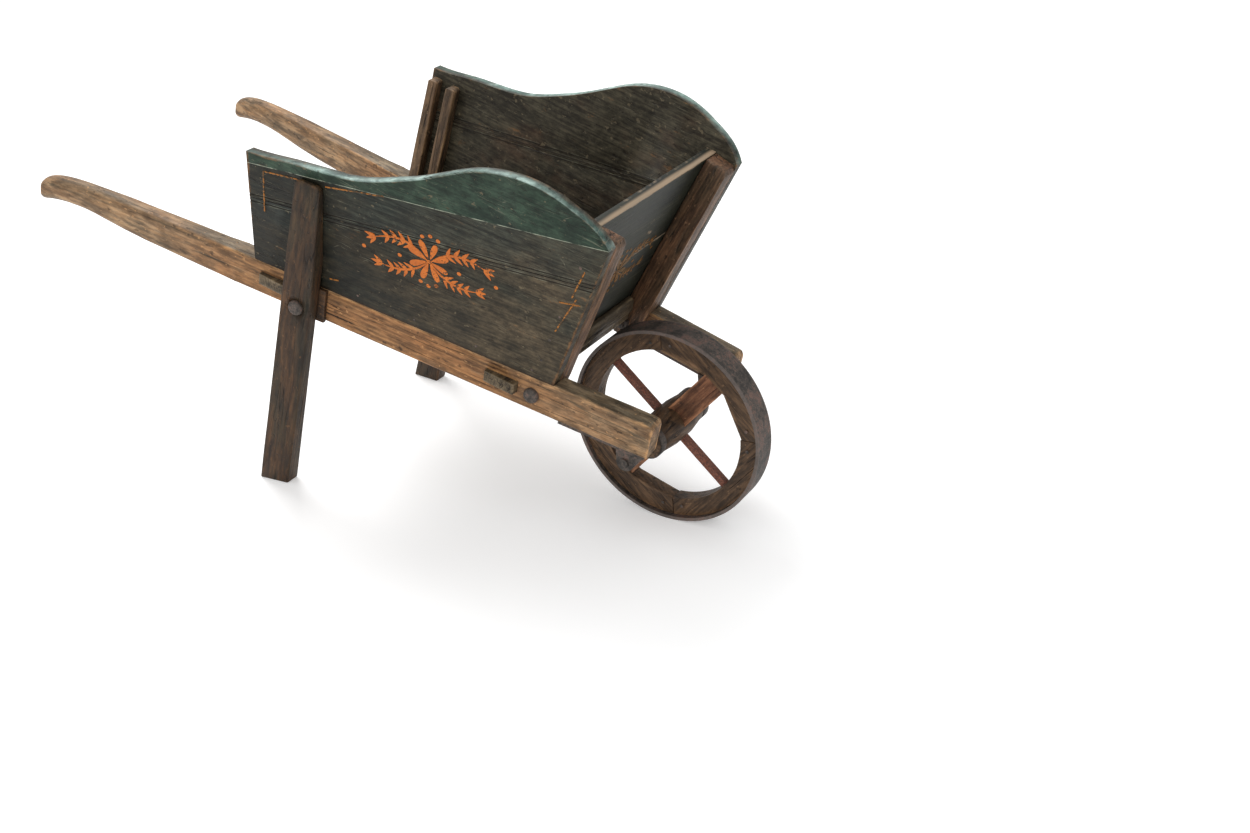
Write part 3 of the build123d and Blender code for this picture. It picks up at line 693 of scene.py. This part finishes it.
def brushed_paint(name, axes, bright, dull, ground, lost=0.5):
    """Thin brushed colour, worn off in flecks down to the board's own dark paint."""
    f = Finish(name)
    at = own_axes(f, axes)
    fleck = f.noise(at, (150, 150, 190), 1.0, 4.0, 0.68, (4, 1, 2))
    patch = f.noise(at, (26, 26, 40), 1.0, 3.0, 0.6, (1, 5, 2))
    gone = f.between(fleck * 0.6 + patch * 0.4, 0.47 + 0.11 * (1 - lost), 0.54 + 0.11 * (1 - lost))
    base = f.mix(f.between(patch, 0.35, 0.65), dull, bright)
    base = f.mix(f.between(fleck, 0.30, 0.50, 0.35, 0.0), base, ground)
    base = f.mix(gone * 0.9, base, ground)
    return f.surface(base, 0.55, fleck * 0.5 - gone, depth=0.0003, specular=0.25)


PLATE = Matrix(((1, 0, 0, 0), (0, 0, 1, 0), (0, 1, 0, 0), (0, 0, 0, 1)))     # along, up, outwards


def line_pieces(lines, width, swell=False):
    """Points, edges and brush widths of lines given as corner lists in millimetres.
    swell makes the brush broad in the middle of each line."""
    points, edges, widths = [], [], []
    for corners in lines:
        first = len(points)
        for k, (a, b) in enumerate(corners):
            points.append((a / 1000, b / 1000, 0.0))
            brush = width * (1.0 + 0.18 * noise.noise(Vector((a * 0.05, b * 0.05, 2))))
            if swell:
                brush *= 0.35 + 1.1 * math.sin(math.pi * min(1, k / (len(corners) - 1) * 0.9 + 0.08))
            widths.append(brush)
            if k:
                edges.append((first + k - 1, first + k))
    return points, edges, widths


def along(corners, step=9.0):
    """The same line with extra points, each a little off the straight as a steady hand leaves them."""
    out = []
    for (a, b), (c, d) in zip(corners, corners[1:]):
        count = max(1, int(math.hypot(c - a, d - b) / step))
        for k in range(count):
            t = k / count
            wave = 0.5 * noise.noise(Vector((a + t * (c - a), b + t * (d - b), 9)) * 0.04)
            out.append((a + t * (c - a) + wave, b + t * (d - b) + wave))
    return out + [corners[-1]]


def arc(start, middle, end, count=14):
    """A bowed stem from start to end, pulled towards middle."""
    return [tuple((1 - t) ** 2 * p + 2 * t * (1 - t) * q + t * t * r for p, q, r in zip(start, middle, end))
            for t in (k / count for k in range(count + 1))]


STEMS = [arc((357, 150), (396, 196), (458, 170)), arc((353, 150), (312, 196), (250, 168)),
         arc((357, 150), (392, 108), (446, 119)), arc((353, 150), (318, 108), (264, 117))]
# petals and leaves: along, up, direction in degrees, length and half width
PETALS = [(355 + 5 * math.cos(math.radians(a)), 152 + 5 * math.sin(math.radians(a)), a, 35, 8.2)
          for a in (22.5 + 45 * k for k in range(8))]
LEAVES = []
for stem in STEMS:
    for k in (5, 7, 9, 11):
        (a, b), (c, d) = stem[k], stem[k + 1]
        run = math.degrees(math.atan2(d - b, c - a))
        LEAVES += [(a, b, run + turn, 23 - 0.6 * k, 4.4) for turn in (48, -48)]
    (a, b), (c, d) = stem[-2:]
    run = math.degrees(math.atan2(d - b, c - a))
    LEAVES += [(c, d, run + turn, 20, 5.0) for turn in (-34, 0, 34)]      # the bud
DOTS = [(355, 203), (355, 101), (340, 198), (370, 198), (340, 106), (370, 106), (228, 142), (482, 142),
        (412, 146), (298, 146)]


def paint_ornament(name, place, finish, size=1.0, centre=(355, 155), rise=UP):
    """Stems, petals and dots laid on a board; place carries along, up and outwards to the board."""
    def put(u, v):
        """Ornament places, in millimetres before the slope of the painted line, on the board in metres."""
        v += (u - 355) * 0.10
        return (centre[0] + (u - 355) * size) / 1000, (centre[1] + (v - 155) * size) / 1000 * rise, 0.0

    def lay(kind, spots, turns, sizes, **more):
        petals.make(name + kind, spots, [], {"turn": turns, "size": sizes}, "frame", place, finish,
                    "painted_board", **more)

    stems = [[tuple(c * 1000 for c in put(*p)[:2]) for p in stem] for stem in STEMS]
    points, edges, widths = line_pieces(stems, 0.0034 * size, swell=True)
    stroke.make(name + "_stems", points, edges, {"width": widths}, "frame", place, finish, "painted_board")
    for kind, chosen, taper in (("_petals", PETALS, 0.34), ("_leaves", LEAVES, -0.36)):
        lay(kind, [put(u, v) for u, v, *_ in chosen], [(0, 0, math.radians(c[2] + 5.7)) for c in chosen],
            [(c[3] * size / 1000, c[4] * size / 1000, 1.0) for c in chosen], taper=taper, spread=0.09, seed=11)
    sizes = [(0.0080 * size, 0.0056 * size, 1.0)] * len(DOTS) + [(0.0085 * size, 0.0058 * size, 1.0)]
    centres = [put(*d) for d in DOTS + [(355, 151)]]
    spots = [(x - wide / 2, y, z) for (x, y, z), (wide, _, _) in zip(centres, sizes)]
    lay("_dots", spots, [(0, 0, 0)] * len(spots), sizes, taper=0.0, spread=0.06, seed=5)


ORANGE, OCHRE, GROUND = colour(206, 112, 36), colour(150, 92, 34), colour(34, 36, 28)
PINSTRIPES = [[(27, 196), (26, 113)], [(27, 196), (97, 208)], [(152, 216), (265, 244)], [(158, 27), (176, 31)],
              [(635, 255), (618, 196)], [(626, 196), (595, 116)], [(597, 178), (634, 186)]]
for side in ("left", "right"):
    axes = axes_for(BOARD, side)
    orange = brushed_paint(side + "_ornament_paint", axes, ORANGE, colour(176, 92, 30), GROUND)
    yellow = brushed_paint(side + "_pinstripe_paint", axes, colour(180, 116, 44), OCHRE, GROUND, lost=0.95)
    paint_ornament(side + "_ornament", axes @ PLATE, orange)
    points, edges, widths = line_pieces([[(a, b * UP) for a, b in along(line)] for line in PINSTRIPES], 0.0026)
    stroke.make(side + "_pinstripes", points, edges, {"width": widths}, "frame", axes @ PLATE, yellow,
                "painted_board")

low, high = measure("front_board_upper", FRONT)
FACE = Matrix(((0, 0, 1, high[0]), (1, 0, 0, 0), (0, 1, 0, 0), (0, 0, 0, 1)))
faint = brushed_paint("front_ornament_paint", FRONT, colour(142, 92, 34), colour(96, 70, 34),
                      colour(30, 32, 24), lost=0.7)
paint_ornament("front_ornament", FRONT @ FACE, faint, size=0.9, centre=(0, 150), rise=1.0)


def nail_row(name, spots, facing, place, body, radius, proud):
    """Heads at spots in a piece's own axes, each facing its own way out."""
    turns = [tuple(Vector(way).to_track_quat("Z", "Y").to_euler()) for way in facing]
    heads.make(name, spots, [], {"turn": turns, "size": [(1, 1, 1)] * len(spots)}, body, place, dark_iron,
               "wrought_iron", radius=radius, proud=proud, spread=0.12, seed=7)


SEAT = -0.0004                   # nail heads sit a little into the worn boards
for side in ("left", "right"):
    spots = [(u, SEAT, v) for u in (0.104, 0.132) for v in (0.045, 0.100, 0.165)]
    spots += [(0.612 + (v - 0.2) * RAKE, SEAT, v) for v in (0.045, 0.095, 0.150, 0.262)]
    spots += [(u, SEAT, 0.016) for u in (0.215, 0.330, 0.452, 0.560)]
    ways = [(0, 1, 0)] * len(spots)
    nail_row(side + "_board_nails", spots, ways, axes_for(BOARD, side), "frame", 0.0026, 0.0010)

TREAD, TREAD_NAILS = 0.1838, 8
ways = [(math.cos(a), 0, math.sin(a)) for a in (math.radians(26 + 45 * k) for k in range(TREAD_NAILS))]
spots = [(x * TREAD, 0.010 * (-1) ** k, z * TREAD) for k, (x, _, z) in enumerate(ways)]
nail_row("tyre_nails", spots, ways, AXLE, "wheel", 0.0045, 0.0005)

PEG_RING, PEG_FACE = 0.1585, 0.0172
spots, ways = [], []
for joint in range(4):
    for face in (1, -1):
        for turn in (-7, 7):
            a = math.radians(PLANK_ANGLE + 45 + 90 * joint + turn)
            spots.append((PEG_RING * math.cos(a), face * PEG_FACE, PEG_RING * math.sin(a)))
            ways.append((0, face, 0))
nail_row("felloe_pegs", spots, ways, AXLE, "wheel", 0.0032, 0.0010)


# ---------------------------------------------------------------- floor, light and camera
FLOOR_HALF = 14.0
FLOOR_GLOW = 0.22                # keeps the pale floor even far from the lamps
WORLD_STRENGTH = 0.80
floor_mesh = bpy.data.meshes.new("studio_floor")
corners = [(x * FLOOR_HALF, y * FLOOR_HALF, 0) for x, y in ((-1, -1), (1, -1), (1, 1), (-1, 1))]
floor_mesh.from_pydata(corners, [], [(0, 1, 2, 3)])
floor = bpy.data.objects.new("studio_floor", floor_mesh)
bpy.context.scene.collection.objects.link(floor)
f = Finish("studio_white")
speck = f.noise(f.node("TexCoord", None, None, out=3), (2, 2, 2))
dress(floor, f.surface(f.mix(speck, (0.90, 0.90, 0.90, 1), (0.93, 0.93, 0.93, 1)), 0.9, specular=0.1))
glow = floor.data.materials[0].node_tree.nodes["Principled BSDF"]
glow.inputs["Emission Color"].default_value = (1, 1, 1, 1)
glow.inputs["Emission Strength"].default_value = FLOOR_GLOW

world = bpy.data.worlds.new("studio")
bpy.context.scene.world = world
world.use_nodes = True
background = world.node_tree.nodes["Background"]
background.inputs["Color"].default_value = (1, 1, 1, 1)
background.inputs["Strength"].default_value = WORLD_STRENGTH


def softbox(name, place, aim, size, power):
    """A rectangular lamp of a size in metres and a power in watts, turned to its aim."""
    light = bpy.data.lights.new(name, "AREA")
    light.shape, light.size, light.size_y, light.energy = "RECTANGLE", size[0], size[1], power
    lamp = bpy.data.objects.new(name, light)
    bpy.context.scene.collection.objects.link(lamp)
    lamp.location = place
    lamp.rotation_euler = (Vector(aim) - Vector(place)).to_track_quat("-Z", "Y").to_euler()


softbox("high_soft", (-1.5, 0.9, 3.0), (0, 0, 0.3), (1.8, 1.8), 75)
softbox("front_fill", (0.9, -3.4, 2.0), (0, 0, 0.35), (2.0, 1.4), 30)

TURNED, LOOKS_DOWN, ROLLED = 31.45, 28.28, -1.874     # the camera's angles in degrees
CAMERA_PLACE = (1.9548 + LIFT[0], -2.2006, 1.5597)
camera = bpy.data.cameras.new("camera")
camera.lens, camera.sensor_width = 47.14, 36.0
view = bpy.data.objects.new("camera", camera)
bpy.context.scene.collection.objects.link(view)
view.matrix_world = (Matrix.Translation(CAMERA_PLACE) @ Matrix.Rotation(math.radians(TURNED), 4, "Z")
                     @ Matrix.Rotation(math.radians(90 - LOOKS_DOWN), 4, "X")
                     @ Matrix.Rotation(math.radians(ROLLED), 4, "Z"))
bpy.context.scene.camera = view
bpy.context.scene.view_settings.view_transform = "Standard"
